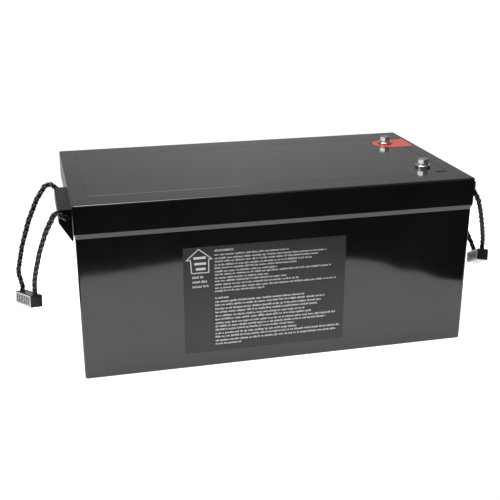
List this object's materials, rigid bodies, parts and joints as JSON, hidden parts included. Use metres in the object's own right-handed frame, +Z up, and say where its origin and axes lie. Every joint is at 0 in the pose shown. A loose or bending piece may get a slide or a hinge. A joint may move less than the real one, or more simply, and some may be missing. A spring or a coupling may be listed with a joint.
{
  "type": "battery pack",
  "caption": "Sealed rectangular battery pack in a glossy black case, with a rope handle at each end, bolt-down terminals, and a cell stack with its control board inside.",
  "frame": {"origin": "centre of the flat underside", "axes": "+X along the length towards the end with the terminals, -Y out of the labelled front face, +Z up"},
  "size_m": [0.6315, 0.269, 0.2308],
  "materials": {
    "container": "moulded black ABS, high gloss",
    "lid": "moulded black ABS, high gloss",
    "top_panel": "glossy black sheet, bonded",
    "lid_seal": "cured sealant bead",
    "front_label": "dark grey film, semi-matt",
    "positive_marker": "red film",
    "positive_terminal": "nickel-plated brass",
    "negative_terminal": "nickel-plated brass",
    "positive_flat_washer": "bright plated",
    "negative_flat_washer": "bright plated",
    "positive_spring_washer": "bright plated",
    "negative_spring_washer": "bright plated",
    "positive_bolt": "bright plated",
    "negative_bolt": "bright plated",
    "left_rope_core": "braided cord, black",
    "left_rope_loop": "braided cord, black",
    "right_rope_core": "braided cord, black",
    "right_rope_loop": "braided cord, black",
    "left_clamp_outer": "moulded black",
    "left_clamp_inner": "moulded black",
    "right_clamp_outer": "moulded black",
    "right_clamp_inner": "moulded black",
    "base_pad": "closed-cell foam",
    "side_pads": "closed-cell foam",
    "cell_1": "aluminium can under blue film",
    "cell_2": "aluminium can under blue film",
    "cell_3": "aluminium can under blue film",
    "cell_4": "aluminium can under blue film",
    "cell_posts": "bare",
    "cell_separators": "glass-fibre sheet",
    "end_plate_left": "sheet",
    "end_plate_right": "sheet",
    "pack_straps": "steel band",
    "series_busbars": "copper bar, nickel flashed",
    "busbar_nuts": "plated",
    "insulation_board": "glass-fibre sheet",
    "bms_carrier": "moulded tray",
    "bms_board": "circuit board",
    "bms_mosfets": "moulded devices",
    "bms_heatsink": "extruded, clear finish",
    "bms_screws": "plated",
    "lead_lugs": "tinned copper",
    "positive_lead": "red silicone",
    "cell_negative_lead": "black silicone",
    "bms_negative_lead": "black silicone",
    "lead_screws": "plated",
    "harness_plug": "moulded",
    "balance_harness": "thin silicone wires",
    "temperature_probe": "wire with a potted bead"
  },
  "bodies": {
    "case": {"container": "container", "lid": "lid", "top_panel": "top_panel", "lid_seal": "lid_seal", "front_label": "front_label", "positive_marker": "positive_marker", "positive_terminal": "positive_terminal", "negative_terminal": "negative_terminal", "left_rope_core": "left_rope_core", "right_rope_core": "right_rope_core", "base_pad": "base_pad", "side_pads": "side_pads", "cell_1": "cell_1", "cell_2": "cell_2", "cell_3": "cell_3", "cell_4": "cell_4", "cell_posts": "cell_posts", "cell_separators": "cell_separators", "end_plate_left": "end_plate_left", "end_plate_right": "end_plate_right", "pack_straps": "pack_straps", "series_busbars": "series_busbars", "busbar_nuts": "busbar_nuts", "insulation_board": "insulation_board", "bms_carrier": "bms_carrier", "bms_board": "bms_board", "bms_mosfets": "bms_mosfets", "bms_heatsink": "bms_heatsink", "bms_screws": "bms_screws", "lead_lugs": "lead_lugs", "positive_lead": "positive_lead", "cell_negative_lead": "cell_negative_lead", "bms_negative_lead": "bms_negative_lead", "lead_screws": "lead_screws", "harness_plug": "harness_plug", "balance_harness": "balance_harness", "temperature_probe": "temperature_probe"},
    "positive_washers": {"positive_flat_washer": "positive_flat_washer", "positive_spring_washer": "positive_spring_washer"},
    "positive_bolt": {"positive_bolt": "positive_bolt"},
    "negative_washers": {"negative_flat_washer": "negative_flat_washer", "negative_spring_washer": "negative_spring_washer"},
    "negative_bolt": {"negative_bolt": "negative_bolt"},
    "left_handle": {"left_rope_loop": "left_rope_loop", "left_clamp_outer": "left_clamp_outer", "left_clamp_inner": "left_clamp_inner"},
    "right_handle": {"right_rope_loop": "right_rope_loop", "right_clamp_outer": "right_clamp_outer", "right_clamp_inner": "right_clamp_inner"}
  },
  "joints": [
    {"name": "left_handle_swing", "type": "hinge", "parent": "case", "child": "left_handle", "pos_m": [-0.266, -0.0595, 0.2105], "axis": [0, 1, 0], "range_deg": [-10, 135]},
    {"name": "right_handle_swing", "type": "hinge", "parent": "case", "child": "right_handle", "pos_m": [0.2546, -0.0595, 0.1998], "axis": [0, -1, 0], "range_deg": [-8, 150]},
    {"name": "positive_bolt_lift", "type": "slide", "parent": "case", "child": "positive_washers", "axis": [0, 0, 1], "range_m": [0, 0.014]},
    {"name": "positive_bolt_turn", "type": "hinge", "parent": "positive_washers", "child": "positive_bolt", "pos_m": [0.207, 0.0665, 0.225], "axis": [0, 0, 1], "range_deg": [0, 3960]},
    {"name": "negative_bolt_lift", "type": "slide", "parent": "case", "child": "negative_washers", "axis": [0, 0, 1], "range_m": [0, 0.014]},
    {"name": "negative_bolt_turn", "type": "hinge", "parent": "negative_washers", "child": "negative_bolt", "pos_m": [0.207, -0.0665, 0.225], "axis": [0, 0, 1], "range_deg": [0, 3960]}
  ],
  "couplings": [
    {"joint": "positive_bolt_lift", "follows": "positive_bolt_turn", "m_per_rad": 0.00019894},
    {"joint": "negative_bolt_lift", "follows": "negative_bolt_turn", "m_per_rad": 0.00019894}
  ]
}
